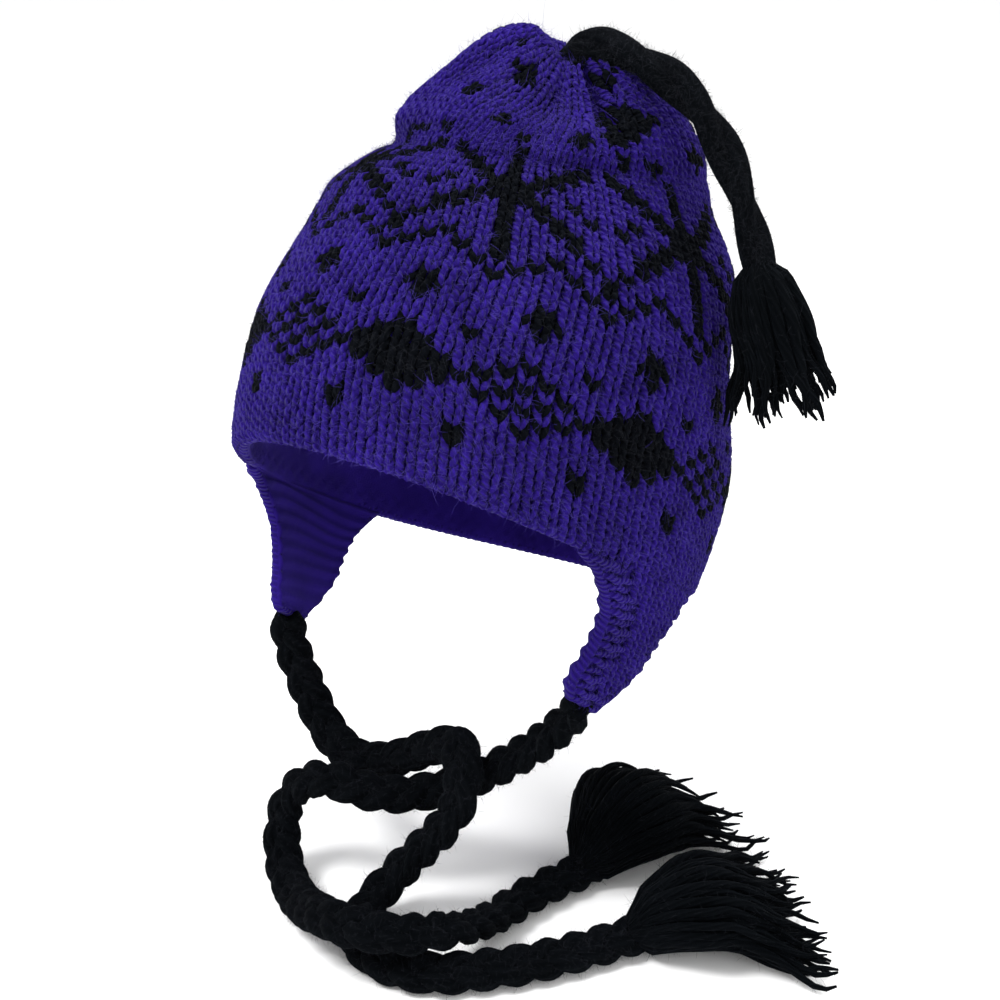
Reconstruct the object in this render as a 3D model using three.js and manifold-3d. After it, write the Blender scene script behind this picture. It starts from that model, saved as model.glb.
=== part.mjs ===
// Knitted earflap beanie with a tasselled cord on top and two braided ties, held as on a head.
// Millimetres, +Z up. The brow faces -Y and the wearer's left is +X.
// The origin is the middle of the head opening, on the axis that leans back with the head.
import * as THREE from "three";
import { mergeVertices } from "three/addons/utils/BufferGeometryUtils.js";
import Module from "manifold-3d";

const wasm = await Module();
wasm.setup();

// Driving dimensions
const knitThickness = 5;
const seamGap = 0.3;
const headLean = THREE.MathUtils.degToRad(12);
const browEdge = 10; // height of the knitted edge over the brow
const napeDrop = 55; // how far the edge has fallen at the nape
const templeDrop = 8; // further fall of the edge over the ears
const levelLength = 165; // fabric length over which the fallen rows level out
const levelBend = 1.25; // above 1 the rows stay fallen for longer
const crownLength = 172; // fabric from the edge to the gather
const innerLength = 158; // the inner face closes here, round the drawn-in gather
const gatherShift = { side: 18, depth: -8.5, from: 96, to: 176 }; // the gather sits off the axis
const gatherDepth = 8; // thickness of the drawn-in knit under the gather
const deepestFold = 0.45; // of the half width
const wallStretch = { angle: 15, along: 7 }; // the wall's direction is taken over twice this much
const flapFront = 61.5; // degrees from the brow where a flap starts
const flapRear = 106;
const cordDiameter = 12;
const tieDiameter = 12.4;
const floorHeight = -142; // where the loose ends of the ties lie
const roomSize = 600; // a box above that floor, larger than the hat

// Colours and finishes
const purpleWool = new THREE.MeshStandardMaterial({ color: 0x3f2796, roughness: 0.95, metalness: 0 });
const blackWool = new THREE.MeshStandardMaterial({ color: 0x0d0d12, roughness: 0.95, metalness: 0 });

function table(columns, rows) {
  return rows.map((row) => Object.fromEntries(columns.map((name, i) => [name, row[i]])));
}

// Sections across the hat, at a place along the fabric: height on the leaning axis, half width,
// depth to the brow and depth to the nape
const sections = table(["along", "height", "side", "front", "back"], [
  [-80, -80, 63, 84, 74],
  [-60, -60, 67, 88, 77],
  [-40, -40, 72, 91, 80],
  [-20, -20, 76, 94, 87],
  [0, 0, 78, 95, 93],
  [20, 20, 79, 96, 96],
  [40, 40, 78, 95, 95],
  [58, 58, 74.5, 91, 91],
  [76, 74, 69, 84, 84],
  [93, 88, 61.5, 74, 75],
  [106, 97, 53.5, 64, 66],
  [114, 102, 47.5, 57, 60],
  [122, 108, 44.5, 53, 57],
  [130, 115, 42, 50, 53],
  [139, 123, 38, 44, 48],
  [151, 131, 29, 32, 37],
  [162, 135, 19, 21, 25],
  [171, 134, 11, 12, 14],
  [182, 127, 4, 4, 4],
]);

// Slouched lobes round the gather: middle and half width in degrees from the brow, then middle
// and half width along the fabric, and lift
const lobes = table(["angle", "spread", "along", "reach", "lift"], [
  [-75, 90, 136, 30, -7],
  [-62, 80, 168, 20, 6],
  [40, 72, 152, 40, -16],
]);

// Folds pressed into the wall: the same places, and depth
const folds = table(["angle", "spread", "along", "reach", "depth"], [
  [-80, 100, 60, 54, 8],
  [-38, 80, 115, 15, 5],
  [112, 95, 119, 28, -11],
  [88, 26, 146, 26, 6],
  [-15, 17, 150, 32, 5],
  [-130, 22, 150, 30, 5],
  [-68, 13, 158, 22, 2.5],
  [36, 13, 160, 20, 2.5],
  [200, 24, 150, 28, 4],
]);

// Rows of an earflap from its seam to its tip: front and rear edge in degrees and in height.
// The seam row follows the fallen edge of the crown.
const flapRows = table(["frontAngle", "frontHeight", "rearAngle", "rearHeight"], [
  [66.5, -17.5, 103.5, -36.5],
  [70.5, -26, 100, -40.5],
  [72.8, -34, 97.5, -45.5],
  [72.6, -42, 96, -51],
  [71.6, -49, 95, -56.5],
  [69.8, -55, 91, -61],
  [69.6, -59, 86, -65],
  [70.5, -62, 81, -68.5],
]);

// Grid counts
const aroundCount = 48;
const flapAcross = 8;
const hemRise = 72; // below it the rows of the grid are far apart
const outerSteps = { hem: 12, top: 5.3 };
const innerSteps = { hem: 18, top: 8 };

// A cubic curve through the rows of a table
function lookUp(rows, key, place) {
  const last = rows.length - 1;
  let i = rows.findIndex((row) => row[key] > place) - 1;
  if (i === -2) i = last - 1;
  i = Math.min(Math.max(i, 0), last - 1);
  const before = rows[Math.max(i - 1, 0)];
  const low = rows[i];
  const high = rows[i + 1];
  const after = rows[Math.min(i + 2, last)];
  const step = high[key] - low[key];
  const t = Math.min(Math.max((place - low[key]) / step, 0), 1);
  const found = {};
  for (const name of Object.keys(low)) {
    const slopeLow = (step * (high[name] - before[name])) / (high[key] - before[key]);
    const slopeHigh = (step * (after[name] - low[name])) / (after[key] - low[key]);
    found[name] =
      low[name] * (2 * t ** 3 - 3 * t ** 2 + 1) +
      slopeLow * (t ** 3 - 2 * t ** 2 + t) +
      high[name] * (3 * t ** 2 - 2 * t ** 3) +
      slopeHigh * (t ** 3 - t ** 2);
  }
  return found;
}

function turnBetween(angle, middle) {
  return ((((angle - middle + 180) % 360) + 360) % 360) - 180;
}

function bump(offset, halfWidth) {
  return Math.abs(offset) < halfWidth ? 0.5 * (1 + Math.cos((Math.PI * offset) / halfWidth)) : 0;
}

function rise(value, low, high) {
  const t = Math.min(Math.max((value - low) / (high - low), 0), 1);
  return t * t * (3 - 2 * t);
}

// The outer face of the hat at an angle from the brow and a place along the fabric
function hatPoint(angle, along) {
  const section = lookUp(sections, "along", along);
  const turn = THREE.MathUtils.degToRad(angle);
  const turned = (row) => bump(turnBetween(angle, row.angle), row.spread);
  const share = (row) => turned(row) * bump(along - row.along, row.reach);
  let height = section.height;
  for (const lobe of lobes) height += lobe.lift * share(lobe);
  let pressed = 0;
  for (const fold of folds) pressed += fold.depth * share(fold);
  const depth = Math.cos(turn) > 0 ? section.front : section.back;
  const keep = 1 - Math.min(pressed / section.side, deepestFold);
  const pulled = rise(along, gatherShift.from, gatherShift.to);
  const x = section.side * keep * Math.sin(turn) + gatherShift.side * pulled;
  const y = -depth * keep * Math.cos(turn) + gatherShift.depth * pulled;
  return new THREE.Vector3(
    x,
    y * Math.cos(headLean) + height * Math.sin(headLean),
    height * Math.cos(headLean) - y * Math.sin(headLean),
  );
}

// The same face moved inwards by the knit's thickness, square to a wide stretch of the wall
function innerPoint(angle, along) {
  const { angle: turn, along: step } = wallStretch;
  const across = hatPoint(angle + turn, along).sub(hatPoint(angle - turn, along));
  const upwards = hatPoint(angle, along + step).sub(hatPoint(angle, along - step));
  const outwards = across.cross(upwards).normalize();
  return hatPoint(angle, along).addScaledVector(outwards, -knitThickness);
}

// Knitted rows fall towards the nape: where a row, counted in fabric from the edge, lies
function rowPlace(angle, fabric) {
  const turn = THREE.MathUtils.degToRad(angle);
  const fall = napeDrop * 0.5 * (1 - Math.cos(turn)) + templeDrop * Math.sin(turn) ** 2;
  const levelled = Math.min(Math.max(fabric / levelLength, 0), 1) ** levelBend;
  return fabric + browEdge - fall * 0.5 * (1 + Math.cos(Math.PI * levelled));
}

// One closed mesh from a list of points and quads or triangles
function closedMesh(points, faces) {
  const geometry = new THREE.BufferGeometry();
  const corners = faces.flatMap((face) =>
    face.length === 4 ? [face[0], face[1], face[2], face[0], face[2], face[3]] : face,
  );
  geometry.setAttribute("position", new THREE.Float32BufferAttribute(points.flatMap((p) => p.toArray()), 3));
  geometry.setIndex(corners);
  return geometry;
}

// Faces between two rings of points that start at the given numbers
function ringFaces(low, high, count) {
  return Array.from({ length: count }, (_, i) => {
    const next = (i + 1) % count;
    return [low + i, low + next, high + next, high + i];
  });
}

function solidFrom(geometry) {
  const bare = geometry.clone();
  bare.deleteAttribute("normal");
  bare.deleteAttribute("uv");
  const merged = mergeVertices(bare, 1e-4);
  return new wasm.Manifold(
    new wasm.Mesh({
      numProp: 3,
      vertProperties: merged.attributes.position.array,
      triVerts: new Uint32Array(merged.index.array),
    }),
  );
}

function geometryFrom(solid) {
  const mesh = solid.getMesh();
  const geometry = new THREE.BufferGeometry();
  geometry.setAttribute("position", new THREE.BufferAttribute(mesh.vertProperties, 3));
  geometry.setIndex(new THREE.BufferAttribute(mesh.triVerts, 1));
  geometry.computeVertexNormals();
  return geometry;
}

// Crown: a hollow wall, open below, gathered shut on top
function fabricStops(steps, length) {
  const stops = [];
  for (let fabric = 0; fabric < hemRise; fabric += steps.hem) stops.push(fabric);
  const count = Math.round((length - hemRise) / steps.top);
  for (let i = 0; i <= count; i++) stops.push(hemRise + ((length - hemRise) * i) / count);
  return stops;
}

function crownSolid() {
  const points = [];
  const faces = [];
  const outer = fabricStops(outerSteps, crownLength);
  const inner = fabricStops(innerSteps, innerLength);
  const angles = Array.from({ length: aroundCount }, (_, i) => (360 * i) / aroundCount);
  const addRings = (stops, pointAt) => {
    const first = points.length;
    for (const stop of stops) for (const angle of angles) points.push(pointAt(angle, rowPlace(angle, stop)));
    return first;
  };
  const addTop = (ring, middle, outwards) => {
    const centre = points.push(middle) - 1;
    for (let i = 0; i < aroundCount; i++) {
      const next = ring + ((i + 1) % aroundCount);
      faces.push(outwards ? [ring + i, next, centre] : [next, ring + i, centre]);
    }
  };
  const outerFirst = addRings(outer, hatPoint);
  const innerFirst = addRings(inner, innerPoint);
  const ring = (first, row) => first + row * aroundCount;
  for (let row = 0; row + 1 < outer.length; row++) {
    faces.push(...ringFaces(ring(outerFirst, row), ring(outerFirst, row + 1), aroundCount));
  }
  for (let row = 0; row + 1 < inner.length; row++) {
    faces.push(...ringFaces(ring(innerFirst, row + 1), ring(innerFirst, row), aroundCount));
  }
  faces.push(...ringFaces(innerFirst, outerFirst, aroundCount));
  const gatherRing = ring(outerFirst, outer.length - 1);
  const gather = new THREE.Vector3();
  for (const point of points.slice(gatherRing, gatherRing + aroundCount)) gather.add(point);
  gather.divideScalar(aroundCount);
  addTop(gatherRing, gather, true);
  addTop(ring(innerFirst, inner.length - 1), gather.clone().setZ(gather.z - gatherDepth), false);
  return solidFrom(closedMesh(points, faces));
}

// Earflap: a curved wall between its front and rear edge, from the seam down to the tie.
// The side is +1 for the wearer's left and -1 for the right.
function flapSolid(side) {
  const rows = [null, ...flapRows];
  const points = [];
  const placeAt = (row, share) => {
    const bow = share * share * (3 - 2 * share);
    if (row) {
      return {
        angle: THREE.MathUtils.lerp(row.frontAngle, row.rearAngle, share),
        along: THREE.MathUtils.lerp(row.frontHeight, row.rearHeight, bow),
      };
    }
    const angle = THREE.MathUtils.lerp(flapFront, flapRear, share);
    return { angle, along: rowPlace(angle, 0) - seamGap };
  };
  for (const pointAt of [hatPoint, innerPoint]) {
    for (const row of rows) {
      for (let i = 0; i <= flapAcross; i++) {
        const place = placeAt(row, i / flapAcross);
        points.push(pointAt(place.angle, place.along));
      }
    }
  }
  const width = flapAcross + 1;
  const innerFirst = rows.length * width;
  const faces = [];
  for (let row = 0; row + 1 < rows.length; row++) {
    for (let i = 0; i < flapAcross; i++) {
      const low = row * width + i;
      faces.push([low, low + width, low + width + 1, low + 1]);
      const inner = innerFirst + low;
      faces.push([inner + 1, inner + width + 1, inner + width, inner]);
    }
  }
  const rim = [];
  for (let i = 0; i < flapAcross; i++) rim.push(i);
  for (let row = 0; row + 1 < rows.length; row++) rim.push(row * width + flapAcross);
  for (let i = flapAcross; i > 0; i--) rim.push((rows.length - 1) * width + i);
  for (let row = rows.length - 1; row > 0; row--) rim.push(row * width);
  for (let i = 0; i < rim.length; i++) {
    const next = rim[(i + 1) % rim.length];
    faces.push([rim[i], next, innerFirst + next, innerFirst + rim[i]]);
  }
  if (side < 0) {
    for (const point of points) point.x = -point.x;
    for (const face of faces) face.reverse();
  }
  return solidFrom(closedMesh(points, faces));
}

// Routes of the cords, chosen by hand so that each lies or hangs clear of the other
const topCordRoute = [
  [19, 19, 131], [23.5, 20, 137.5], [31.5, 20, 139.5], [41, 20, 137], [49.5, 20, 133.3], [57, 20, 128.8],
  [64, 20, 123], [70, 20, 116.5], [75, 20, 109.5], [79.3, 20, 101.5], [83, 20, 93], [86.3, 20, 84.5],
  [89.2, 20, 75],
];
const leftTieRoute = [
  [62, -35, -60], [54, -33.5, -69.5], [45, -33, -79], [34.5, -33, -88], [24, -34.5, -96],
  [12, -39.5, -102.5], [0, -47.5, -105.5], [-11, -54.5, -104.5], [-21, -58, -102.5], [-31, -59, -104.5],
  [-39, -59.5, -111], [-42.5, -62, -121.5], [-37.5, -68.5, -131.5], [-25, -78, -135.5], [-9.5, -88.5, -131.5],
  [6, -97, -125], [21, -99.5, -122.3], [34.5, -94, -122.3], [42, -81.5, -124.8], [42.5, -66, -131],
  [41.5, -51, -135.3], [42.5, -38, -135.7], [45.5, -25, -135.7], [50.5, -8, -135.7],
];
const rightTieRoute = [
  [-62, -35, -60], [-59.5, -34.5, -72.5], [-55, -33.5, -85], [-47, -35, -95.5], [-38, -37.5, -101.5],
  [-27, -39.5, -103.5], [-15, -39, -101], [-4, -37.5, -95.5], [7, -37, -89.5], [16.5, -40, -85.5],
  [24, -46.5, -88], [26.5, -52, -97], [21.5, -55.5, -108], [13, -59, -119], [6, -65, -129], [4, -75, -135.2],
  [9, -85, -135.7], [19, -91.5, -135.7], [31, -93, -135.7], [43, -89.5, -135.7], [53, -81, -135.7],
  [63, -70, -135.7], [72, -57, -135.7], [80, -43, -135.7], [85, -33, -135.7],
];
const cordSides = 8;
const cornerRoom = 1.2; // a sleeve's flats lie nearer to its cord than its corners do
const stepsPerDiameter = 1.1; // the half knot bends tightly

// A cord's tube, or with room round it the sleeve that its neighbours are cut by
function cordSolid(route, diameter, room = 0) {
  const points = route.map((point) => new THREE.Vector3(...point));
  const grow = (end, next) => end.addScaledVector(end.clone().sub(next).normalize(), room);
  grow(points[0], points[1]);
  grow(points.at(-1), points.at(-2));
  const curve = new THREE.CatmullRomCurve3(points);
  const section = new THREE.Shape();
  for (let i = 0; i < cordSides; i++) {
    const turn = (2 * Math.PI * i) / cordSides;
    const radius = 0.5 * diameter + cornerRoom * room;
    const place = [radius * Math.cos(turn), radius * Math.sin(turn)];
    if (i === 0) section.moveTo(...place);
    else section.lineTo(...place);
  }
  const steps = Math.round((curve.getLength() / diameter) * stepsPerDiameter);
  return solidFrom(new THREE.ExtrudeGeometry(section, { steps, extrudePath: curve, curveSegments: 1 }));
}

// Tassels: tapered locks of yarn fused to a bound head. Neck is where the cord ends, tip the
// middle of the loose ends, and across the direction in which they fan out. Belly and spread are
// half widths at the fullest place and at the ends, with the half thickness of each, and crest is
// how far the belly stands up from the line between neck and tip.
const tassels = {
  top_tassel: {
    neck: [89.2, 20, 75.5], tip: [101.5, 20, 30], across: [0.95, 0.2, 0.2],
    belly: 10.5, spread: 14, bellyDepth: 10, tipDepth: 12, crest: 0, headRadius: 8.5,
  },
  tie_left_tassel: {
    neck: [49, -13, -135], tip: [61, 62, -135.5], across: [0.97, -0.22, 0],
    belly: 14, spread: 24, bellyDepth: 9.5, tipDepth: 6, crest: 7.5, headRadius: 9,
  },
  tie_right_tassel: {
    neck: [83.5, -36, -135], tip: [123, 10, -135.5], across: [0.7, -0.72, 0],
    belly: 13.5, spread: 30, bellyDepth: 9, tipDepth: 6, crest: 7, headRadius: 9,
  },
};
const crestAt = { share: 0.4, reach: 0.6 }; // shares of a tassel's length
const headEnd = 0.32;
const headShape = [0.8, 1, 1.1]; // shares of the head's radius
const lockCount = 12;
const lockStart = 0.1;
const bellyEnd = 0.62;
const lockEnds = { mean: 0.9, change: 0.13 };
const lockRadii = [4, 6, 5, 3.6, 1.1];
const lockSides = 5;
const goldenTurn = Math.PI * (3 - Math.sqrt(5));

// A closed tube along a curve whose radius is listed from its start to its end
function taperedTube(curve, radii, sides) {
  const frames = curve.computeFrenetFrames(radii.length - 1, false);
  const points = [];
  const faces = [];
  radii.forEach((radius, i) => {
    const centre = curve.getPointAt(i / (radii.length - 1));
    for (let k = 0; k < sides; k++) {
      const turn = (2 * Math.PI * k) / sides;
      const point = centre.clone().addScaledVector(frames.normals[i], radius * Math.cos(turn));
      points.push(point.addScaledVector(frames.binormals[i], radius * Math.sin(turn)));
    }
    if (i > 0) faces.push(...ringFaces((i - 1) * sides, i * sides, sides));
  });
  const end = (radii.length - 1) * sides;
  for (let k = 1; k + 1 < sides; k++) {
    faces.push([0, k + 1, k]);
    faces.push([end, end + k, end + k + 1]);
  }
  return solidFrom(closedMesh(points, faces));
}

function tasselSolid(shape) {
  const neck = new THREE.Vector3(...shape.neck);
  const tip = new THREE.Vector3(...shape.tip);
  const length = tip.clone().sub(neck);
  const along = length.clone().normalize();
  const across = new THREE.Vector3(...shape.across).normalize();
  const third = across.clone().cross(along).normalize();
  const placed = (share, u, v) => {
    const lift = shape.crest * bump(share - crestAt.share, crestAt.reach);
    const place = neck.clone().addScaledVector(length, share).addScaledVector(across, u);
    return place.addScaledVector(third, v + lift);
  };
  const headCurve = new THREE.LineCurve3(placed(0, 0, 0), placed(headEnd, 0, 0));
  const headRadii = headShape.map((share) => share * shape.headRadius);
  let solid = taperedTube(headCurve, headRadii, cordSides);
  for (let i = 0; i < lockCount; i++) {
    const ring = Math.sqrt((i + 0.5) / lockCount);
    const u = ring * Math.cos(goldenTurn * i);
    const v = ring * Math.sin(goldenTurn * i);
    const reach = lockEnds.mean + lockEnds.change * Math.cos(goldenTurn * i);
    const lock = new THREE.CatmullRomCurve3([
      placed(lockStart, lockRadii[0] * u, lockRadii[0] * v),
      placed(headEnd, shape.belly * u, shape.bellyDepth * v),
      placed(bellyEnd, 0.5 * (shape.belly + shape.spread) * u, shape.bellyDepth * v),
      placed(reach, shape.spread * u, shape.tipDepth * v),
    ]);
    solid = solid.add(taperedTube(lock, lockRadii, lockSides));
  }
  return solid;
}

// Everything above the floor that the loose ends lie on
function aboveFloor(solid) {
  const room = new THREE.BoxGeometry(roomSize, roomSize, roomSize);
  room.translate(0, 0, floorHeight + 0.5 * roomSize);
  return solid.intersect(solidFrom(room));
}

function buildHat() {
  const hat = new THREE.Group();
  const addPiece = (name, solid, material) => {
    const mesh = new THREE.Mesh(geometryFrom(solid), material);
    mesh.name = name;
    hat.add(mesh);
  };
  const topCord = cordSolid(topCordRoute, cordDiameter);
  const leftTie = cordSolid(leftTieRoute, tieDiameter);
  const rightTie = cordSolid(rightTieRoute, tieDiameter);
  const sleeve = (route, diameter) => cordSolid(route, diameter, seamGap);
  addPiece("crown", crownSolid().subtract(sleeve(topCordRoute, cordDiameter)), purpleWool);
  addPiece("earflap_left", flapSolid(1).subtract(sleeve(leftTieRoute, tieDiameter)), purpleWool);
  addPiece("earflap_right", flapSolid(-1).subtract(sleeve(rightTieRoute, tieDiameter)), purpleWool);
  addPiece("top_cord", topCord, blackWool);
  addPiece("tie_left", aboveFloor(leftTie), blackWool);
  addPiece("tie_right", aboveFloor(rightTie), blackWool);
  const carriers = [
    ["top_tassel", topCordRoute, cordDiameter],
    ["tie_left_tassel", leftTieRoute, tieDiameter],
    ["tie_right_tassel", rightTieRoute, tieDiameter],
  ];
  for (const [name, route, diameter] of carriers) {
    addPiece(name, aboveFloor(tasselSolid(tassels[name])).subtract(sleeve(route, diameter)), blackWool);
  }
  return hat;
}

export default buildHat();
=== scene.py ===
# Knitted earflap beanie: stitches, earflaps, top cord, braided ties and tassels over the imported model
# Lengths here are in millimetres and angles in degrees from the brow, as in the CAD model;
# buildMesh turns them into metres.
import math
import bpy
import numpy as np
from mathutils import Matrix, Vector


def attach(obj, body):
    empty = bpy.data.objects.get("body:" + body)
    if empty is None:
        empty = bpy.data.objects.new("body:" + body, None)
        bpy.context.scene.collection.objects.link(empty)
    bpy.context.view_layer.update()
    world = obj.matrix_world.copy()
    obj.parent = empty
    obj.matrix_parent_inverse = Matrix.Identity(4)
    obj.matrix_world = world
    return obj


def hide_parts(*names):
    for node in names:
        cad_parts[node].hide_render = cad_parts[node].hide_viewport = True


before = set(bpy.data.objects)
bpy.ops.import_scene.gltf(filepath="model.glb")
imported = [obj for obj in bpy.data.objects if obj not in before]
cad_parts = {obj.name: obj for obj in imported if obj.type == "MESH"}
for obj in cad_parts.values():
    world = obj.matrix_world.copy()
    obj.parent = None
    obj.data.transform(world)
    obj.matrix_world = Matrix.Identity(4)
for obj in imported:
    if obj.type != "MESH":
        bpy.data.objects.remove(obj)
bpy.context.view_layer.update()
rng = np.random.default_rng(84)
print("frame loaded")

# Camera at the photograph's viewing angle, 35 degrees round from the brow and 20 above
camera = {"place": (0.33008, -0.46254, 0.19311), "azimuth": 35, "elevation": 20, "lens": 63.72}
cameraData = bpy.data.cameras.new("photoCamera")
cameraData.lens = camera["lens"]
cameraData.sensor_width = 36
cameraData.clip_start = 0.01
photoCamera = bpy.data.objects.new("photoCamera", cameraData)
photoCamera.location = camera["place"]
photoCamera.rotation_euler = (math.radians(90 - camera["elevation"]), 0, math.radians(camera["azimuth"]))
bpy.context.scene.collection.objects.link(photoCamera)
bpy.context.scene.camera = photoCamera


# Materials

def linearColour(code):
    parts = [int(code[i:i + 2], 16) / 255 for i in (1, 3, 5)]
    return [c / 12.92 if c <= 0.04045 else ((c + 0.055) / 1.055) ** 2.4 for c in parts] + [1.0]


def addNode(tree, kind, settings=None, links=None):
    node = tree.nodes.new(kind)
    for key, value in (settings or {}).items():
        if isinstance(key, str) and hasattr(node, key):
            setattr(node, key, value)
        else:
            node.inputs[key].default_value = value
    for key, socket in (links or {}).items():
        tree.links.new(socket, node.inputs[key])
    return node


# How far each part moves the colour along the ramp, for all yarns; ply is painted shade, darker in the grooves
# between the plies
yarnMix = {"tone": 0.2, "start": 0.18, "patch": 0.55, "ply": 0.12, "darkAt": 0.2, "lightAt": 0.85}


def woolYarn(name, look):
    # Dyed worsted wool: matt, with a soft bright edge from loose fibres, plies twisted round each other and
    # painted shade in the grooves between them
    material = bpy.data.materials.new(name)
    material.use_nodes = True
    tree = material.node_tree
    tree.nodes.clear()
    place = addNode(tree, "ShaderNodeTexCoord")
    tone = addNode(tree, "ShaderNodeAttribute", {"attribute_name": "tone"})
    # fibre streaks, about 0.4 mm wide, drawn coarser than the real 0.03 mm fibres so that they show
    fibre = addNode(tree, "ShaderNodeTexNoise", {"Scale": 2400.0, "Detail": 2.0, "Roughness": 0.6},
                    {"Vector": place.outputs["Object"]})
    # dye that took unevenly, in patches of about 15 mm
    patch = addNode(tree, "ShaderNodeTexNoise", {"Scale": 60.0, "Detail": 2.0},
                    {"Vector": place.outputs["Object"]})
    # ply twist on the yarn's own map: u runs along in millimetres, v once round
    turns = addNode(tree, "ShaderNodeVectorMath", {"operation": "DOT_PRODUCT", 1: look["twist"]},
                    {0: place.outputs["UV"]})
    ply = addNode(tree, "ShaderNodeMath", {"operation": "SINE"}, {0: turns.outputs["Value"]})
    withTone = addNode(tree, "ShaderNodeMath", {"operation": "MULTIPLY_ADD", 1: yarnMix["tone"],
                       2: yarnMix["start"]}, {0: tone.outputs["Fac"]})
    withPatch = addNode(tree, "ShaderNodeMath", {"operation": "MULTIPLY_ADD", 1: yarnMix["patch"]},
                        {0: patch.outputs["Fac"], 2: withTone.outputs[0]})
    # painted shade: the ply wave that sinks the bump also darkens the colour in the grooves between plies
    withPlyShade = addNode(tree, "ShaderNodeMath", {"operation": "MULTIPLY_ADD", 1: yarnMix["ply"]},
                      {0: ply.outputs[0], 2: withPatch.outputs[0]})
    ramp = addNode(tree, "ShaderNodeValToRGB", {}, {"Fac": withPlyShade.outputs[0]})
    ramp.color_ramp.elements[0].position = yarnMix["darkAt"]
    ramp.color_ramp.elements[0].color = linearColour(look["dark"])
    ramp.color_ramp.elements[1].position = yarnMix["lightAt"]
    ramp.color_ramp.elements[1].color = linearColour(look["light"])
    height = addNode(tree, "ShaderNodeMath", {"operation": "MULTIPLY_ADD", 1: look["plyDepth"]},
                     {0: ply.outputs[0], 2: fibre.outputs["Fac"]})
    bump = addNode(tree, "ShaderNodeBump", {"Strength": look["bump"], "Distance": 0.0004},
                   {"Height": height.outputs[0]})
    finish = {"Roughness": 0.88, "IOR": 1.5, "Specular IOR Level": look["specular"], "Sheen Weight": look["sheen"],
              "Sheen Roughness": 0.45, "Sheen Tint": linearColour(look["sheenTint"])}
    wool = addNode(tree, "ShaderNodeBsdfPrincipled", finish,
                   {"Base Color": ramp.outputs["Color"], "Normal": bump.outputs["Normal"]})
    addNode(tree, "ShaderNodeOutputMaterial", {}, {"Surface": wool.outputs["BSDF"]})
    return material


# twist: ply turns in radians for each millimetre along the yarn, and for once round it
yarnLooks = {
    "purple": {"dark": "#10063A", "light": "#2A187B", "sheenTint": "#8E86C0", "sheen": 0.13, "specular": 0.03,
               "bump": 1.0, "plyDepth": 1.0, "twist": (3.2, 12.566, 0)},
    # black yarns are near-black wool; the slight navy tint in their colours is painted reflection
    "black": {"dark": "#030406", "light": "#080A0F", "sheenTint": "#4A5060", "sheen": 0.07, "specular": 0.02,
              "bump": 1.0, "plyDepth": 1.0, "twist": (3.2, 12.566, 0)},
    "blackRoving": {"dark": "#010203", "light": "#07090C", "sheenTint": "#4A5460", "sheen": 0.055,
                    "specular": 0.02, "bump": 0.9, "plyDepth": 0.5, "twist": (0.9, 37.7, 0)},
    # fuzz colours are paler and greyer than their yarn: painted sheen for the haze that light makes in loose
    # fibres
    "purpleFuzz": {"dark": "#221868", "light": "#4A3F90", "sheenTint": "#A79BE6", "sheen": 0.1, "specular": 0.05,
                   "bump": 0.0, "plyDepth": 0.0, "twist": (0, 0, 0)},
    "blackFuzz": {"dark": "#08090B", "light": "#26282E", "sheenTint": "#8A8C96", "sheen": 0.08, "specular": 0.04,
                  "bump": 0.0, "plyDepth": 0.0, "twist": (0, 0, 0)},
}
purpleWool = woolYarn("purpleWorstedWool", yarnLooks["purple"])
blackWool = woolYarn("blackWorstedWool", yarnLooks["black"])
blackRoving = woolYarn("blackRovingWool", yarnLooks["blackRoving"])
purpleFuzz = woolYarn("purpleWoolFuzz", yarnLooks["purpleFuzz"])
blackFuzz = woolYarn("blackWoolFuzz", yarnLooks["blackFuzz"])
print("materials made")


# Mesh tools

def buildMesh(name, points, quads, corners, quadMap, tone, material):
    # corners are the triangles; tone is one value for each point, or None
    quads = np.asarray(quads).reshape(-1, 4)
    corners = np.zeros((0, 3), int) if corners is None else np.asarray(corners).reshape(-1, 3)
    points = np.asarray(points, dtype=np.float64).reshape(-1, 3) * 0.001
    mesh = bpy.data.meshes.new(name)
    mesh.vertices.add(len(points))
    mesh.vertices.foreach_set("co", points.astype(np.float32).ravel())
    loops = np.concatenate([quads.ravel(), corners.ravel()]).astype(np.int32)
    mesh.loops.add(len(loops))
    mesh.loops.foreach_set("vertex_index", loops)
    starts = np.concatenate([np.arange(len(quads)) * 4, 4 * len(quads) + np.arange(len(corners)) * 3])
    mesh.polygons.add(len(starts))
    mesh.polygons.foreach_set("loop_start", starts.astype(np.int32))
    mesh.polygons.foreach_set("use_smooth", np.ones(len(starts), dtype=bool))
    mesh.update(calc_edges=True)
    yarnMap = np.concatenate([quadMap.reshape(-1, 2), np.zeros((3 * len(corners), 2))])
    mesh.uv_layers.new(name="UVMap").data.foreach_set("uv", yarnMap.astype(np.float32).ravel())
    if tone is None:
        tone = np.full(len(points), 0.5)
    mesh.attributes.new("tone", "FLOAT", "POINT").data.foreach_set("value", np.asarray(tone, dtype=np.float32))
    mesh.materials.append(material)
    mesh.validate()
    made = bpy.data.objects.new(name, mesh)
    bpy.context.scene.collection.objects.link(made)
    return made


def unit(v):
    return v / np.maximum(np.linalg.norm(v, axis=-1, keepdims=True), 1e-9)


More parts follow.
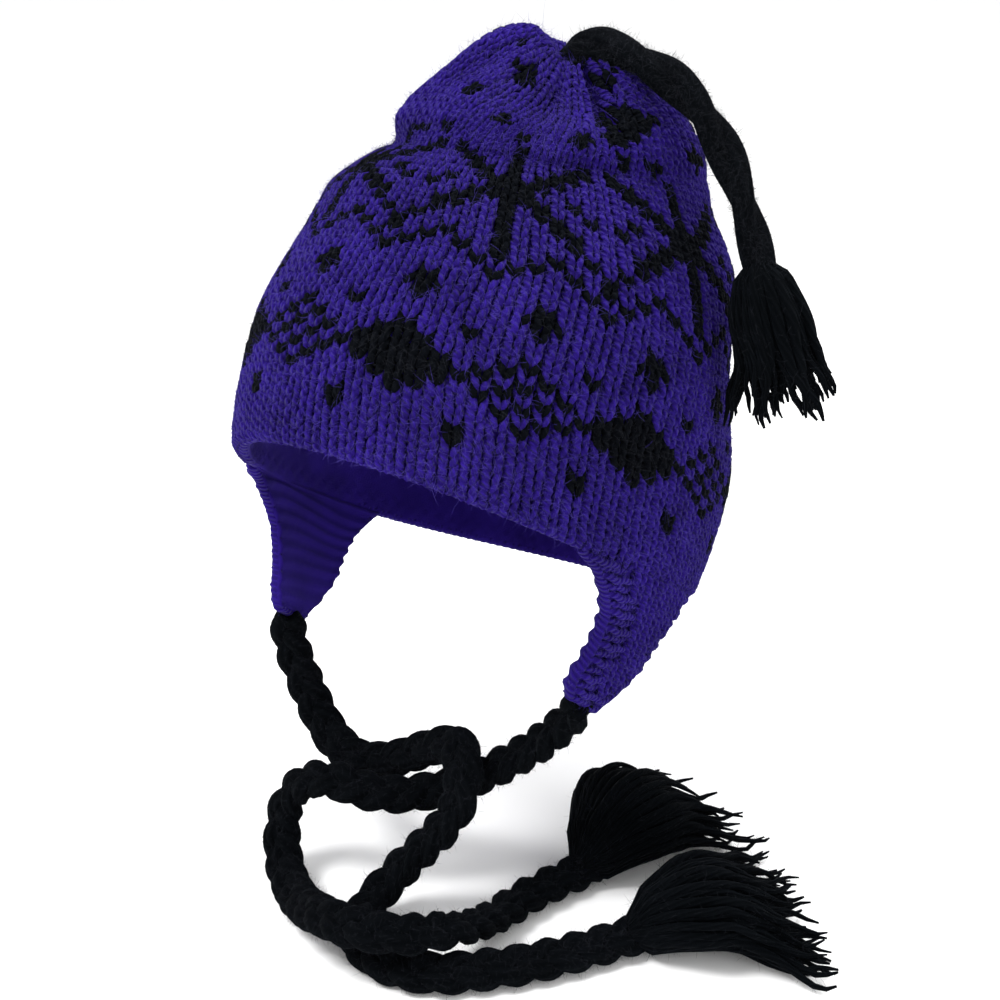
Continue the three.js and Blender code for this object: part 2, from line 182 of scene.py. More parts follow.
def tubes(centres, normals, wide, high, sides, lengths=None):
    # Closed tubes, one for each row of centres: points, quads, end triangles and a yarn map.
    # wide and high are the half widths across and square to the surface, at each ring or each of its points;
    # lengths are where the rings lie along the yarn, unless it is measured here
    count, rings, _ = centres.shape
    tangents = unit(np.gradient(centres, axis=1))
    sideways = unit(np.cross(normals, tangents))
    upwards = np.cross(tangents, sideways)
    turn = 2 * np.pi * np.arange(sides) / sides
    wide, high = (size.reshape(count, rings, -1, 1) for size in (wide, high))
    points = (centres[:, :, None] + wide * np.cos(turn)[:, None] * sideways[:, :, None]
              + high * np.sin(turn)[:, None] * upwards[:, :, None])
    first = (np.arange(count) * rings * sides)[:, None, None]
    ring = (np.arange(rings - 1) * sides)[None, :, None]
    k = np.arange(sides)[None, None, :]
    n = (k + 1) % sides
    quads = np.stack([first + ring + k, first + ring + n, first + ring + sides + n, first + ring + sides + k], -1)
    fan = np.arange(1, sides - 1)
    low = (np.arange(count) * rings * sides)[:, None]
    top = low + (rings - 1) * sides
    ends = np.concatenate([np.stack([low + 0 * fan, low + fan + 1, low + fan], -1),
                           np.stack([top + 0 * fan, top + fan, top + fan + 1], -1)], 1)
    if lengths is None:
        steps = np.linalg.norm(np.diff(centres, axis=1), axis=2)
        lengths = np.concatenate([np.zeros((count, 1)), np.cumsum(steps, 1)], 1)
    a = np.broadcast_to(lengths[:, :-1, None], quads.shape[:3])
    b = np.broadcast_to(lengths[:, 1:, None], quads.shape[:3])
    lowV = np.broadcast_to(k / sides, quads.shape[:3])
    highV = lowV + 1 / sides
    quadMap = np.stack([np.stack([a, lowV], -1), np.stack([a, highV], -1),
                        np.stack([b, highV], -1), np.stack([b, lowV], -1)], -2)
    return points.reshape(-1, 3), quads.reshape(-1, 4), ends.reshape(-1, 3), quadMap.reshape(-1, 4, 2)


def gridFaces(rows, columns, first=0, closed=True, flip=False):
    # Quads between rows of points; closed joins the last column to the first
    wrap = columns if closed else columns - 1
    j, i = np.meshgrid(np.arange(rows - 1), np.arange(wrap), indexing="ij")
    n = (i + 1) % columns
    quads = np.stack([j * columns + i, j * columns + n, (j + 1) * columns + n, (j + 1) * columns + i], -1)
    quads = quads.reshape(-1, 4)
    return first + (quads[:, ::-1] if flip else quads)


# The hat's surface, from the same sections, lobes and folds as the CAD model
hatShape = {
    "lean": 12, "browEdge": 10, "napeDrop": 55, "templeDrop": 8, "levelLength": 165, "levelBend": 1.25,
    "crownLength": 172, "innerLength": 158,
    "gather": {"side": 18, "depth": -8.5, "from": 96, "to": 176}, "deepestFold": 0.45,
    # along, height, side, front, back
    "sections": [[-80, -80, 63, 84, 74], [-60, -60, 67, 88, 77], [-40, -40, 72, 91, 80], [-20, -20, 76, 94, 87],
                 [0, 0, 78, 95, 93], [20, 20, 79, 96, 96], [40, 40, 78, 95, 95], [58, 58, 74.5, 91, 91],
                 [76, 74, 69, 84, 84], [93, 88, 61.5, 74, 75], [106, 97, 53.5, 64, 66], [114, 102, 47.5, 57, 60],
                 [122, 108, 44.5, 53, 57], [130, 115, 42, 50, 53], [139, 123, 38, 44, 48], [151, 131, 29, 32, 37],
                 [162, 136, 19, 21, 25], [171, 138.5, 11, 12, 14], [182, 134, 4, 4, 4]],
    # angle, spread, along, reach, lift
    "lobes": [[-75, 90, 136, 30, -7], [-62, 80, 162, 24, 4.5], [40, 72, 152, 40, -16]],
    # angle, spread, along, reach, depth
    "folds": [[-80, 100, 60, 54, 8], [-38, 80, 115, 15, 5], [112, 95, 119, 28, -8], [68, 12, 152, 32, 14],
              [-15, 17, 150, 32, 5], [-130, 22, 150, 30, 5], [-68, 13, 158, 22, 2.5], [36, 13, 160, 20, 4],
              [200, 24, 150, 28, 4], [128, 55, 38, 42, 6], [-58, 60, 15, 50, 3], [-70, 45, 122, 16, 7],
              [30, 105, 109, 8, 3.2], [-45, 60, 84, 44, 5], [-45, 50, 104, 16, 4.5]],
}


def bumpShape(offset, halfWidth):
    return np.where(np.abs(offset) < halfWidth, 0.5 * (1 + np.cos(np.pi * offset / halfWidth)), 0.0)


def rise(value, low, high):
    t = np.clip((value - low) / (high - low), 0, 1)
    return t * t * (3 - 2 * t)


def lookUp(rows, place):
    # A cubic curve through the rows of a table whose first column is the place
    rows = np.asarray(rows, float)
    keys, values = rows[:, 0], rows[:, 1:]
    i = np.clip(np.searchsorted(keys, place, side="right") - 1, 0, len(keys) - 2)
    before, after = np.maximum(i - 1, 0), np.minimum(i + 2, len(keys) - 1)
    step = (keys[i + 1] - keys[i])[..., None]
    t = np.clip((place - keys[i])[..., None] / step, 0, 1)
    slopeLow = step * (values[i + 1] - values[before]) / (keys[i + 1] - keys[before])[..., None]
    slopeHigh = step * (values[after] - values[i]) / (keys[after] - keys[i])[..., None]
    return (values[i] * (2 * t ** 3 - 3 * t ** 2 + 1) + slopeLow * (t ** 3 - 2 * t ** 2 + t)
            + values[i + 1] * (3 * t ** 2 - 2 * t ** 3) + slopeHigh * (t ** 3 - t ** 2))


def hatPoint(angle, along):
    angle, along = np.broadcast_arrays(np.asarray(angle, float), np.asarray(along, float))
    section = lookUp(hatShape["sections"], along)
    height, side, front, back = [section[..., j] for j in range(4)]

    def share(row):
        return bumpShape((angle - row[0] + 180) % 360 - 180, row[1]) * bumpShape(along - row[2], row[3])

    height = height + sum(row[4] * share(row) for row in hatShape["lobes"])
    pressed = sum(row[4] * share(row) for row in hatShape["folds"])
    turn = np.radians(angle)
    depth = np.where(np.cos(turn) > 0, front, back)
    keep = 1 - np.minimum(pressed / side, hatShape["deepestFold"])
    gather = hatShape["gather"]
    pulled = rise(along, gather["from"], gather["to"])
    x = side * keep * np.sin(turn) + gather["side"] * pulled
    y = -depth * keep * np.cos(turn) + gather["depth"] * pulled
    lean = math.radians(hatShape["lean"])
    return np.stack([x, y * math.cos(lean) + height * math.sin(lean),
                     height * math.cos(lean) - y * math.sin(lean)], -1)


def hatNormal(angle, along, turn=3.0, step=2.0):
    across = hatPoint(angle + turn, along) - hatPoint(angle - turn, along)
    upwards = hatPoint(angle, along + step) - hatPoint(angle, along - step)
    return unit(np.cross(across, upwards))


def rowPlace(angle, fabric):
    # Knitted rows fall towards the nape: where a row, counted in fabric from the edge, lies
    turn = np.radians(angle)
    fall = 0.5 * hatShape["napeDrop"] * (1 - np.cos(turn)) + hatShape["templeDrop"] * np.sin(turn) ** 2
    levelled = np.clip(fabric / hatShape["levelLength"], 0, 1) ** hatShape["levelBend"]
    return fabric + hatShape["browEdge"] - fall * 0.5 * (1 + np.cos(np.pi * levelled))


def knitPlace(angle, fabric, outwards):
    # A point on the crown at a height over its outer face, and the direction away from it
    along = rowPlace(angle, fabric)
    normal = hatNormal(angle, along)
    return hatPoint(angle, along) + np.asarray(outwards)[..., None] * normal, normal


# Knitting chart, 12 stitches wide and repeated seven times round; # is black, first row at the brim
knit = {
    "columns": 84, "firstAngle": 19.2, "rowHeight": 3.0, "rows": 57,
    "lean": {"from": 33, "to": 75, "columns": 1.1},  # the wales lean to the wearer's left above the temples
    # one leg of a V: reach in rows, spread in wales, and its thickness and depth in millimetres
    "legReach": (-0.45, 1.62), "legSpread": (0.07, 0.42), "legWide": 1.12, "legHigh": 1.15,
    "legSink": -1.8, "legLift": 0.7, "legRings": 5, "legSides": 6, "fullWale": 5.9, "blackThick": 1.08,
    "legFit": (0.4, 1.05), "hemTuck": 1.2, "hemStart": 0.4,
    "uneven": {"across": 0.028, "along": 0.04, "outwards": 0.08, "thick": 0.04},
    "dots": {"row": 18.2, "halfWide": 0.95, "halfHigh": 1.3, "every": 6},
    # where the crown narrows, wales are taken together: from this row on, so many are left
    "decreases": [(0, 84), (38, 70), (43, 56), (47, 42), (51, 28), (54, 14)],
}
plain, smallDots, bar = "............", "...#.....#..", "...#........"
chart = [plain] * 5 + [smallDots] * 2 + [plain] + [
    "#.....#.....",  # 8
    "##...#.#...#",
    "###.#.#.#.##",
    "####.#.#.###",
    "###.#.#.#.##",
    "##...#.#...#",
    "#.....#.....",
    "...#.....#..",  # 15
] + [plain] * 5 + [
    "...#.....#..",  # 21
    "..#.#...#.#.",
    ".#.#.#.#.#.#",
    "#..#..#..#..",
] + [bar] * 12
chartRows, chartColumns = len(chart), len(chart[0])
barColumn = bar.index("#")
# The snowflake's arms, mirrored about its bar: row, distance from the bar
snowflake = [(25, 5), (26, 4), (27, 3), (27, 4), (28, 2), (28, 3), (29, 1), (29, 2), (30, 1), (30, 4), (29, 5),
             (31, 1), (31, 2), (32, 2), (32, 3), (33, 3), (33, 4), (34, 4), (34, 5), (35, 5)]
# Marks over the crease, where the wales are taken together: column of 84, row, half width, half height
topMarks = [
    (-8.3, 50.5, 1.7, 1.0), (-2.9, 49, 2.4, 1.6), (-4.7, 43.6, 1.5, 1.3), (0.6, 41.3, 1.3, 1.7),
    (-3.6, 37.6, 1.2, 1.0), (-6.9, 37, 1.5, 1.0), (8.3, 40, 1.2, 1.7), (12.1, 37.6, 1.2, 1.0),
    (14.8, 37.8, 1.2, 1.1), (13.1, 43, 3.2, 2.4), (11.5, 40.6, 1.8, 1.1), (14.2, 49.7, 2.0, 1.3),
    # the tall mark at column 10.8, row 53.5 lies along the valley fold: partly black yarn, partly painted shade
    # for the fold
    (3.5, 38.5, 0.9, 0.9), (10.8, 53.5, 1.9, 3.6),
]
topMarks += [(column, 40, 1.4, 1.4) for column in range(20, 69, 12)]
topMarks += [(column, 49.5, 1.8, 1.2) for column in (22, 33, 45, 57, 68)]
for column in (26, 50):
    topMarks += [(column, 43, 3.2, 2.4), (column + 12, 43.5, 3.0, 2.2)]
for row, away in snowflake:
    marked = list(chart[row])
    marked[(barColumn + away) % chartColumns] = marked[(barColumn - away) % chartColumns] = "#"
    chart[row] = "".join(marked)


def isBlack(column, row, side=0):
    # column is counted in stitches of the brim from the first angle; side is -1 or 1 for one leg of a stitch
    row = np.asarray(row)
    column = np.asarray(column, float)
    table = np.array([[mark == "#" for mark in line] for line in chart])
    low = table[np.clip(row, 0, chartRows - 1), np.round(column).astype(int) % chartColumns] & (row >= 0)
    column = column + 0.25 * side
    dots = knit["dots"]
    away = (column + 0.5 * dots["every"]) % dots["every"] - 0.5 * dots["every"]
    low |= (away / dots["halfWide"]) ** 2 + ((row - dots["row"]) / dots["halfHigh"]) ** 2 < 1
    shift = leanShift(row * knit["rowHeight"])
    high = np.zeros(low.shape, bool)
    for middle, markRow, halfWide, halfHigh in topMarks:
        away = (column + shift - middle + 0.5 * knit["columns"]) % knit["columns"] - 0.5 * knit["columns"]
        high |= np.abs(away) / halfWide + np.abs(row - markRow) / halfHigh < 1
    return np.where(row < chartRows, low, high)


def leanShift(fabric):
    lean = knit["lean"]
    return lean["columns"] * rise(fabric, lean["from"], lean["to"])


def columnAngle(column, fabric):
    return knit["firstAngle"] + (column + leanShift(fabric)) * 360 / knit["columns"]


def walesAt(row):
    return [count for start, count in knit["decreases"] if row >= start][-1]


def stitchList():
    # column, row and width, in stitches of the brim, of every stitch on the crown
    rows = []
    for row in range(knit["rows"]):
        count = walesAt(row)
        share = knit["columns"] / count
        for i in range(count):
            rows.append((i * share + 0.5 * (share - 1), row, share))
    return np.array(rows)


def knitLegs(stitches, side):
    # One leg of every V: centres and normals along its rings
    t = np.linspace(0, 1, knit["legRings"])
    uneven = knit["uneven"]
    reach, spread = knit["legReach"], knit["legSpread"]
    u = side * (spread[0] + (spread[1] - spread[0]) * t)
    v = reach[0] + (reach[1] - reach[0]) * t
    loose = rng.normal(0, uneven["across"], (len(stitches), 1))
    column = stitches[:, :1] + (u + loose) * stitches[:, 2:]
    fabric = (stitches[:, 1:2] + v + rng.normal(0, uneven["along"], (len(stitches), 1))) * knit["rowHeight"]
    # each leg comes out over the stitch below and tucks in under the stitch above
    outwards = knit["legSink"] + (knit["legLift"] - knit["legSink"]) * np.sin(np.pi * (0.12 + 0.84 * t ** 0.75))
    firstRow = stitches[:, 1:2] == 0
    tuck = knit["hemTuck"] * np.clip(1 - fabric / 2, 0, 1) * firstRow
    outwards = outwards + rng.normal(0, uneven["outwards"], (len(stitches), 1)) - tuck
    fabric = np.where(firstRow, np.maximum(fabric, knit["hemStart"]), fabric)
    return knitPlace(columnAngle(column, fabric), fabric, outwards)


def yarnPiece(name, parts, material):
    # Joins batches of tubes into one piece; each part is what tubes takes, and a shade for each tube
    points, quads, ends, maps, tones, start = [], [], [], [], [], 0
    for *shape, shades in parts:
        newPoints, newQuads, newEnds, newMap = tubes(*shape)
        points.append(newPoints)
        quads.append(newQuads + start)
        ends.append(newEnds + start)
        maps.append(newMap)
        tones.append(np.repeat(shades, len(newPoints) // len(shades)))
        start += len(newPoints)
    return buildMesh(name, np.concatenate(points), np.concatenate(quads), np.concatenate(ends),
                     np.concatenate(maps), np.concatenate(tones), material)


def legBatch(stitches, side, thick=1.0):
    # Tubes for one leg of every stitch, as wide as its wale allows
    centres, normals = knitLegs(stitches, side)
    fabric = knit["rowHeight"] * stitches[:, 1]
    place = rowPlace(columnAngle(stitches[:, 0], fabric), fabric)
    low, high = (hatPoint(columnAngle(stitches[:, 0] + half, fabric), place) for half in (-0.5, 0.5))
    fit = np.linalg.norm(high - low, axis=1) * stitches[:, 2] / knit["fullWale"]
    size = thick * (1 + rng.normal(0, knit["uneven"]["thick"], (len(stitches), 1)))
    wide = knit["legWide"] * np.clip(fit, *knit["legFit"])[:, None] * legProfile * size
    high = knit["legHigh"] * legProfile * size
    return centres, normals, wide, high, knit["legSides"], rng.uniform(0, 1, len(stitches))


stitches = stitchList()
legProfile = np.sqrt(np.sin(np.pi * (0.1 + 0.76 * np.linspace(0, 1, knit["legRings"]))))
bands = [("hem", 0, 14), ("middle", 14, 30), ("top", 30, knit["rows"])]
for bandName, low, high in bands:
    for colour, dark in (("purple", False), ("black", True)):
        inBand = stitches[(stitches[:, 1] >= low) & (stitches[:, 1] < high)]
        parts = []
        for side in (-1, 1):
            chosen = inBand[isBlack(inBand[:, 0], inBand[:, 1].astype(int), side) == dark]
            parts.append(legBatch(chosen, side, knit["blackThick"] if dark else 1.0))
        piece = yarnPiece("crown_" + colour + "_" + bandName, parts, blackWool if dark else purpleWool)
        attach(piece, "root")
print("crown stitches knitted")


def edgeTube(name, path, normals, radius, pitch, material):
    # A rounded edge of slanting grains, one for each stitch along the path
    run = np.concatenate([[0], np.cumsum(np.linalg.norm(np.diff(path, axis=0), axis=1))])
    grain = 1 + 0.08 * np.cos(2 * np.pi * run / pitch)
    sides = 12
    wide, high = radius[0] * grain, radius[1] * grain
    points, quads, ends, maps = tubes(path[None], normals[None], wide, high, sides)
    tone = rng.uniform(0.3, 0.7, len(path)).repeat(sides)
    return buildMesh(name, points, quads, ends, maps, tone, material)


hem = {
    "spans": [("front_hem_edge", -63, 63.5), ("rear_hem_edge", 110.5, 255.5)],
    "step": 0.7, "fabric": 1.3, "outwards": -2.5, "radius": (1.9, 2.2), "grain": 2.9,
}
for name, low, high in hem["spans"]:
    angles = np.arange(low, high, hem["step"])
    path, normals = knitPlace(angles, np.full(angles.shape, hem["fabric"]), np.full(angles.shape, hem["outwards"]))
    piece = edgeTube(name, path, normals, hem["radius"], hem["grain"], purpleWool)
    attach(piece, "root")


# Wall behind the stitches: a dense inner fabric with purl bumps inside
wall = {"across": 4, "up": 2, "outerRows": 60, "outwards": -1.2, "thickness": 4.6, "relief": 0.9,
        "purl": 0.7, "ridges": 0.35, "plainHem": 4, "plainTop": 8, "topSink": 8.0,
        "turn": 15, "step": 7}  # turn and step are wide, so that the inner face stays smooth in the folds


def wallPiece():
    columns = knit["columns"] * wall["across"]
    outerRows = np.linspace(0, hatShape["crownLength"], wall["outerRows"])
    innerRows = np.linspace(0, hatShape["innerLength"], knit["rows"] * wall["up"])
    angles = knit["firstAngle"] + np.arange(columns) * 360 / columns
    aOuter, fOuter = np.meshgrid(angles, outerRows)
    outer, _ = knitPlace(aOuter, fOuter, np.full(aOuter.shape, wall["outwards"]))
    aInner, fInner = np.meshgrid(angles, innerRows)
    along = rowPlace(aInner, fInner)
    normal = hatNormal(aInner, along, wall["turn"], wall["step"])
    wale = (aInner - knit["firstAngle"]) * knit["columns"] / 360
    row = fInner / knit["rowHeight"]
    purl = wall["purl"] * np.cos(2 * np.pi * (wale + 0.5 * np.floor(row))) * np.cos(2 * np.pi * row)
    relief = purl + wall["ridges"] * np.cos(4 * np.pi * row)
    topStart = hatShape["innerLength"] - wall["plainTop"]
    fade = rise(fInner, 0, wall["plainHem"]) * (1 - rise(fInner, topStart, hatShape["innerLength"]))
    inner = hatPoint(aInner, along) - (wall["thickness"] + wall["relief"] * relief * fade)[..., None] * normal
    ring = outer[-1].mean(0)
    lowRing = ring - np.array([0, 0, wall["topSink"]])
    points = np.concatenate([outer.reshape(-1, 3), inner.reshape(-1, 3), [ring], [lowRing]])
    firstInner = outer.shape[0] * columns
    quads = [gridFaces(outer.shape[0], columns), gridFaces(inner.shape[0], columns, firstInner, flip=True)]
    i = np.arange(columns)
    n = (i + 1) % columns
    quads.append(np.stack([firstInner + i, firstInner + n, n, i], -1))
    topOuter = (outer.shape[0] - 1) * columns
    topInner = firstInner + (inner.shape[0] - 1) * columns
    corners = [np.stack([topOuter + i, topOuter + n, np.full(columns, len(points) - 2)], -1),
               np.stack([topInner + n, topInner + i, np.full(columns, len(points) - 1)], -1)]
    quads = np.concatenate(quads)
    flatMap = np.zeros((len(quads), 4, 2))
    return buildMesh("crown_wall", points, quads, np.concatenate(corners), flatMap, None, purpleWool)


crownWall = wallPiece()
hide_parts("crown")
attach(crownWall, "root")
print("crown wall made")


# Cords, on the routes of the CAD model
def throughPoints(route, step):
    # Centripetal curve through the points, then evenly spaced
    p = np.asarray(route, float)
    p = np.concatenate([[2 * p[0] - p[1]], p, [2 * p[-1] - p[-2]]])
    path = []
    for i in range(len(p) - 3):
        a, b, c, d = p[i:i + 4]
        t0, t1 = 0.0, np.linalg.norm(b - a) ** 0.5
        t2 = t1 + np.linalg.norm(c - b) ** 0.5
        t3 = t2 + np.linalg.norm(d - c) ** 0.5
        t = np.linspace(t1, t2, 24, endpoint=False)[:, None]
        a1 = (t1 - t) / (t1 - t0) * a + (t - t0) / (t1 - t0) * b
        a2 = (t2 - t) / (t2 - t1) * b + (t - t1) / (t2 - t1) * c
        a3 = (t3 - t) / (t3 - t2) * c + (t - t2) / (t3 - t2) * d
        b1 = (t2 - t) / (t2 - t0) * a1 + (t - t0) / (t2 - t0) * a2
        b2 = (t3 - t) / (t3 - t1) * a2 + (t - t1) / (t3 - t1) * a3
        path.append((t2 - t) / (t2 - t1) * b1 + (t - t1) / (t2 - t1) * b2)
    path = np.concatenate(path + [p[-2:-1]])
    run = np.concatenate([[0], np.cumsum(np.linalg.norm(np.diff(path, axis=0), axis=1))])
    count = int(round(run[-1] / step)) + 1
    even = np.linspace(0, run[-1], count)
    return np.stack([np.interp(even, run, path[:, k]) for k in range(3)], -1), even


def levelFrames(path, facing):
    # Directions across and out of a flat braid, turned to face one way and smoothed
    tangent = unit(np.gradient(path, axis=0))
    out = unit(facing - (tangent @ facing)[:, None] * tangent)
    notFirst, notLast = np.ones((len(path), 1)), np.ones((len(path), 1))
    notFirst[0] = notLast[-1] = 0
    for _ in range(12):
        out = unit(out + np.roll(out, 1, 0) * notFirst + np.roll(out, -1, 0) * notLast)
        out = unit(out - (out * tangent).sum(1)[:, None] * tangent)
    return out, np.cross(tangent, out)


def flutedStrand(path, out, radius, look, lengths):
    # A strand of many yarns, for yarnPiece: its section is fluted and the flutes wind round it
    turn = 2 * np.pi * np.arange(look["sides"]) / look["sides"]
    wave = np.abs(np.cos(0.5 * look["flutes"] * (turn[None, :] + look["twist"] * lengths[:, None])))
    reach = radius[:, None] * (0.82 + 0.2 * wave ** 0.7)  # radius in the grooves, and what the yarns add
    return (path[None], out[None], reach, look["squash"] * reach, look["sides"], lengths[None],
            rng.uniform(0.2, 0.8, 1))


# Cords: pitch or period is one full turn of the strands along the cord, offset, across and deep are how far
# a strand swings from its middle, and twist is radians of the flutes for each millimetre
topCord = {
    "diameter": 12, "plies": 2, "pitch": 60, "offset": 2.2, "radius": 3.9, "slimmer": 0.12, "flutes": 9,
    "twist": 0.075, "squash": 1.0, "sides": 36, "step": 1.2, "facing": (0.0, -1.0, 0.2),
    "route": [
        (19, 19, 131), (22.8, 19.6, 135.9), (31, 20, 137.2), (41, 20, 135.4), (49.5, 20, 132.3), (57, 20, 128.3),
        (64, 20, 123), (70, 20, 116.5), (75, 20, 109.5), (79.3, 20, 101.5), (83, 20, 93), (86.3, 20, 84.5),
        (89.2, 20, 75)],
}
ties = {
    "diameter": 12.4, "strands": 3, "period": 30, "across": 3.3, "deep": 1.5, "radius": 3.7, "flutes": 7,
    "twist": 0.12, "squash": 0.88, "sides": 28, "step": 1.1, "facing": (0, -0.6, 0.8),
    "left": [
        (62, -35, -60), (54, -33.5, -69.5), (45, -33, -79), (34.5, -33, -88), (24, -34.5, -96),
        (12, -39.5, -102.5), (0, -47.5, -105.5), (-11, -54.5, -104.5), (-21, -58, -102.5), (-31, -59, -104.5),
        (-39, -59.5, -111), (-42.5, -62, -121.5), (-37.5, -68.5, -131.5), (-25, -78, -135.5),
        (-9.5, -88.5, -131.5), (6, -97, -125), (21, -99.5, -122.3), (34.5, -94, -122.3), (42, -81.5, -124.8),
        (42.5, -66, -131), (41.5, -51, -135.3), (42.5, -38, -135.7), (45.5, -25, -135.7), (50.5, -8, -135.7)],
    "right": [
        (-62, -35, -60), (-59.5, -34.5, -72.5), (-55, -33.5, -85), (-47, -35, -95.5), (-38, -37.5, -101.5),
        (-27, -39.5, -103.5), (-15, -39, -101), (-4, -37.5, -95.5), (7, -37, -89.5), (16.5, -40, -85.5),
        (24, -46.5, -88), (26.5, -52, -97), (21.5, -55.5, -108), (13, -59, -119), (6, -65, -129),
        (4, -75, -135.2), (9, -85, -135.7), (19, -91.5, -135.7), (31, -93, -135.7), (43, -89.5, -135.7),
        (53, -81, -135.7), (63, -70, -135.7), (72, -57, -135.7), (80, -43, -135.7), (85, -33, -135.7)],
}
floorHeight = -142  # the table that the ties rest on, in millimetres


def twistedCord():
    path, run = throughPoints(topCord["route"], topCord["step"])
    out, across = levelFrames(path, np.array(topCord["facing"]))
    slim = 1 - topCord["slimmer"] * rise(run, 0.45 * run[-1], run[-1])
    strands = []
    for k in range(topCord["plies"]):
        turn = 2 * np.pi * (run / topCord["pitch"] + k / topCord["plies"])
        away = np.cos(turn)[:, None] * out + np.sin(turn)[:, None] * across
        centre = path + (topCord["offset"] * slim)[:, None] * away
        strands.append(flutedStrand(centre, away, topCord["radius"] * slim, topCord, run))
    return yarnPiece("top_cord_plies", strands, blackRoving), path, run[-1]


def braidedTie(name, side):
    path, run = throughPoints(ties[side], ties["step"])
    out, across = levelFrames(path, unit(np.array(ties["facing"])))
    radius = np.full(len(run), ties["radius"])
    strands = []
    for k in range(ties["strands"]):
        turn = 2 * np.pi * (run / ties["period"] + k / ties["strands"])
        centre = (path + (ties["across"] * np.sin(turn))[:, None] * across
                  + (ties["deep"] * np.sin(2 * turn))[:, None] * out)
        centre[:, 2] = np.maximum(centre[:, 2], floorHeight + ties["radius"] * 0.98)
        strands.append(flutedStrand(centre, out, radius, ties, run))
    return yarnPiece(name, strands, blackRoving), path, run[-1]


cordPiece, cordPath, cordLength = twistedCord()
leftPiece, leftPath, leftLength = braidedTie("tie_left_braid", "left")
rightPiece, rightPath, rightLength = braidedTie("tie_right_braid", "right")
print("cords made, lengths", round(cordLength), round(leftLength), round(rightLength))


# Tassels: locks of roving that leave the cord's end, swell and part towards their tips.
# Belly and spread are half widths in the middle and at the tips, crest is how high the middle arches
tassels = {
    "top": {"neck": (89.2, 20, 75.5), "tip": (101.5, 20, 30), "across": (0.95, 0.2, 0.2), "belly": 12.5,
            "spread": 18, "bellyDepth": 12, "tipDepth": 14, "crest": 0, "head": 9.5, "locks": 74, "wander": 2.4},
    "left": {"neck": (49, -13, -135), "tip": (59.5, 49, -135.5), "across": (0.97, -0.22, 0), "belly": 24,
             "spread": 33, "bellyDepth": 13, "tipDepth": 9, "crest": 13, "head": 12, "locks": 110, "wander": 4},
    "right": {"neck": (83.5, -36, -135), "tip": (121, 9, -135.5), "across": (0.7, -0.72, 0), "belly": 23,
              "spread": 40, "bellyDepth": 11, "tipDepth": 7, "crest": 9, "head": 12, "locks": 110, "wander": 4},
}
lockLook = {"radius": 1.5, "rings": 19, "sides": 8, "golden": math.pi * (3 - math.sqrt(5)),
            "start": -0.015, "reach": (0.74, 1.05), "girth": (0.75, 1.2)}


def tasselSize(share, head, belly, end):
    # Half width from the bound head over the belly to the tips
    bound = head * (0.25 + 0.6 * rise(share, -0.03, 0.1))
    return bound + (belly - 0.85 * head) * rise(share, 0.02, 0.42) + (end - belly) * rise(share, 0.45, 1.05)


def tasselPiece(name, shape):
    neck, tip = np.array(shape["neck"], float), np.array(shape["tip"], float)
    length = tip - neck
    along = unit(length)
    across = unit(np.array(shape["across"], float))
    third = unit(np.cross(across, along))
    count = shape["locks"]
    i = np.arange(count)
    ring = np.sqrt((i + 0.5) / count)
    u, v = ring * np.cos(lockLook["golden"] * i), ring * np.sin(lockLook["golden"] * i)
    reach = rng.uniform(*lockLook["reach"], count)
    s = np.linspace(lockLook["start"], 1, lockLook["rings"])
    share = s[None, :] * reach[:, None]
    wideAt = tasselSize(share, shape["head"], shape["belly"], shape["spread"])
    deepAt = tasselSize(share, shape["head"], shape["bellyDepth"], shape["tipDepth"])
    # the locks wander in slow waves with a small crimp, more and more towards their tips
    phase = rng.uniform(0, 2 * np.pi, (count, 2))
    wander = shape["wander"] * rise(share, 0.25, 1.0)
    sway = wander * (np.sin(5 * share + phase[:, :1]) + 0.3 * np.sin(23 * share + phase[:, 1:]))
    heave = 0.5 * wander * (np.sin(6 * share + phase[:, 1:]) + 0.3 * np.sin(17 * share + phase[:, :1]))
    lift = shape["crest"] * bumpShape(share - 0.4, 0.6)
    centres = (neck + share[..., None] * length + (wideAt * u[:, None] + sway)[..., None] * across
               + (deepAt * v[:, None] + heave + lift)[..., None] * third)
    # thin where it is bound, full in the middle and thin again at the tip
    radius = lockLook["radius"] * (0.72 + 0.28 * rise(s, 0, 0.25))
    radius = radius * (1 - 0.45 * rise(s, 0.5, 0.94)) * (1 - 0.6 * rise(s, 0.9, 1.0))
    radius = radius[None, :] * rng.uniform(*lockLook["girth"], (count, 1))
    centres[..., 2] = np.maximum(centres[..., 2], floorHeight + radius)
    normals = np.broadcast_to(third, centres.shape)
    locks = (centres, normals, radius * 1.1, radius, lockLook["sides"], rng.uniform(0, 1, count))
    return yarnPiece(name, [locks], blackRoving)


topTassel = tasselPiece("top_tassel_locks", tassels["top"])
leftTassel = tasselPiece("tie_left_tassel_locks", tassels["left"])
rightTassel = tasselPiece("tie_right_tassel_locks", tassels["right"])


def declareCord(piece, node, tassel, tasselNode):
    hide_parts(node)
    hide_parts(tasselNode)
    for part in (piece, tassel):
        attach(part, "root")


declareCord(cordPiece, "top_cord", topTassel, "top_tassel")
declareCord(leftPiece, "tie_left", leftTassel, "tie_left_tassel")
declareCord(rightPiece, "tie_right", rightTassel, "tie_right_tassel")
print("tassels made")


